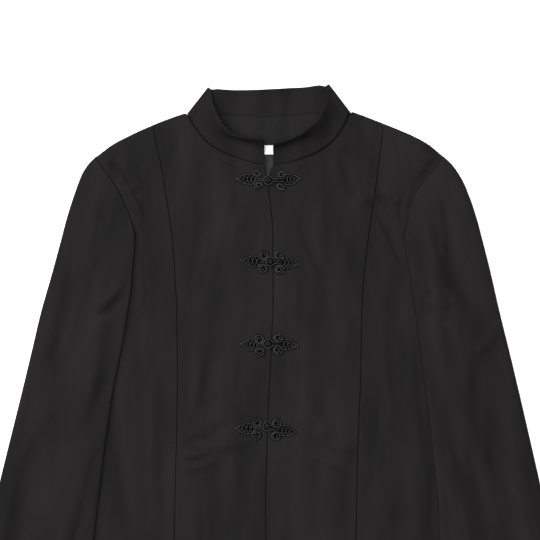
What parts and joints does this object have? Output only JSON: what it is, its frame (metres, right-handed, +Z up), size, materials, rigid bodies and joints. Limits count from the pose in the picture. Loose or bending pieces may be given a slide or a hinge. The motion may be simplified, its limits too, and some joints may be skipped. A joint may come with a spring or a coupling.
{
  "type": "mandarin collar blazer",
  "caption": "Long-sleeved tailored jacket laid flat, with a stand collar split at the front, princess seams and knotted cord frogs closing the front.",
  "frame": {"origin": "middle of the bounding box on the surface that the blazer lies on", "axes": "+Z up from that surface, out of the front of the garment; +Y from the hem to the collar; +X across it to the viewer's right"},
  "size_m": [0.732, 0.7032, 0.029],
  "materials": {
    "suiting": "matt black woven suiting with a faint melange",
    "facing_cloth": "the same suiting, seen on the inside of the neck",
    "lining_satin": "dark grey lining satin with a soft sheen",
    "label_tape": "bare white woven tape",
    "frog_braid": "black rayon cord with a low sheen"
  },
  "bodies": {
    "root": {"back": "suiting", "front_side_left": "suiting", "front_side_right": "suiting", "front_center_left": "suiting", "front_center_right": "suiting", "sleeve_left": "suiting", "sleeve_right": "suiting", "collar": "suiting", "back_facing": "facing_cloth", "back_lining": "lining_satin", "neck_label": "label_tape", "frog_1_left": "frog_braid", "frog_1_right": "frog_braid", "frog_1_knot": "frog_braid", "frog_2_left": "frog_braid", "frog_2_right": "frog_braid", "frog_2_knot": "frog_braid", "frog_3_left": "frog_braid", "frog_3_right": "frog_braid", "frog_3_knot": "frog_braid", "frog_4_left": "frog_braid", "frog_4_right": "frog_braid", "frog_4_knot": "frog_braid"}
  },
  "joints": []
}
